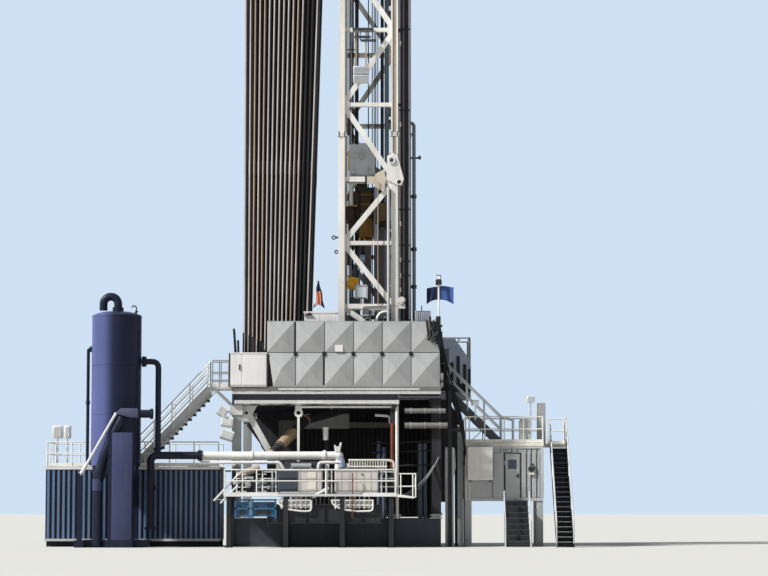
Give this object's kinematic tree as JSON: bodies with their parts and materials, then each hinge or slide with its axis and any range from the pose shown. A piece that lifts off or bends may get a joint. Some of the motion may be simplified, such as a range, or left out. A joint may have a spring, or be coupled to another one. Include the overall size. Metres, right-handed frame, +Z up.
{
  "type": "oil drilling rig, 1:2 scale model",
  "caption": "Land drilling rig at 1:2: open mast on a raised floor with racked pipe, winch, block, tank, separator and house.",
  "frame": {"origin": "on the ground, under the middle line of the near base box and level with the well centre, which is 1.925 m further along +Y", "axes": "+Z up, +X along the rig towards the winch side, -X towards the racked pipe, -Y the side seen in the picture"},
  "size_m": [11.21, 5.63, 25.675],
  "materials": {
    "mast_paint": "satin",
    "grey_paint": "satin",
    "dark_steel": "satin",
    "light_steel": "satin",
    "navy_paint": "satin",
    "drill_pipe": "worn",
    "white_paint": "satin",
    "sand_paint": "matt",
    "block_paint": "satin",
    "tank_paint": "satin",
    "duct_paint": "satin",
    "drive_paint": "satin",
    "elevator_paint": "satin"
  },
  "bodies": {
    "rig": {"base_boxes": "grey_paint", "base_spreaders": "grey_paint", "posts": "grey_paint", "diagonals": "grey_paint", "raising_struts": "white_paint", "girders": "light_steel", "floor_beams": "dark_steel", "floor_deck": "grey_paint", "rotary_table": "dark_steel", "near_windwall": "grey_paint", "other_windwalls": "grey_paint", "white_cabinet": "white_paint", "left_landing": "light_steel", "left_stair_stringers": "light_steel", "left_stair_treads": "grey_paint", "left_stair_rails": "white_paint", "right_stair_stringers": "light_steel", "right_stair_treads": "grey_paint", "right_stair_rails": "white_paint", "cabin_walls": "white_paint", "cabin_roof": "white_paint", "cabin_floor": "grey_paint", "winch": "mast_paint", "mast_legs": "mast_paint", "mast_shoes": "mast_paint", "near_bracing": "mast_paint", "far_bracing": "mast_paint", "rear_bracing": "mast_paint", "raising_brackets": "mast_paint", "racking_board": "mast_paint", "racking_fingers": "dark_steel", "crown_frame": "mast_paint", "crown_sheaves": "dark_steel", "guide_rails": "dark_steel", "service_duct": "duct_paint", "standpipe": "tank_paint", "near_stands": "drill_pipe", "far_stands": "drill_pipe", "drilling_lines": "dark_steel", "separator_shell": "navy_paint", "separator_top": "navy_paint", "separator_stand": "navy_paint", "separator_pipes": "navy_paint", "mud_tank": "tank_paint", "tank_deck": "light_steel", "tank_rails": "white_paint", "shaker_skid": "grey_paint", "shakers": "grey_paint", "skid_rails": "white_paint", "flow_pipe": "white_paint", "flow_line": "sand_paint", "house_walls": "grey_paint", "house_deck": "sand_paint", "house_stair": "dark_steel", "house_units": "light_steel", "house_steps": "dark_steel"},
    "travelling": {"travelling_block": "block_paint", "top_drive": "drive_paint"},
    "links": {"elevator_links": "elevator_paint"},
    "door": {"house_door": "light_steel"}
  },
  "joints": [
    {"name": "travel", "type": "slide", "parent": "rig", "child": "travelling", "axis": [0, 0, 1], "range_m": [-1.75, 14.3], "deforming": ["drilling_lines"]},
    {"name": "link_tilt", "type": "hinge", "parent": "travelling", "child": "links", "pos_m": [0, 1.925, 6.76], "axis": [0, 1, 0], "range_deg": [-27, 23]},
    {"name": "house_door_hinge", "type": "hinge", "parent": "rig", "child": "door", "pos_m": [3.101, 0.413, 1.5], "axis": [0, 0, 1], "range_deg": [-105, 0]}
  ]
}
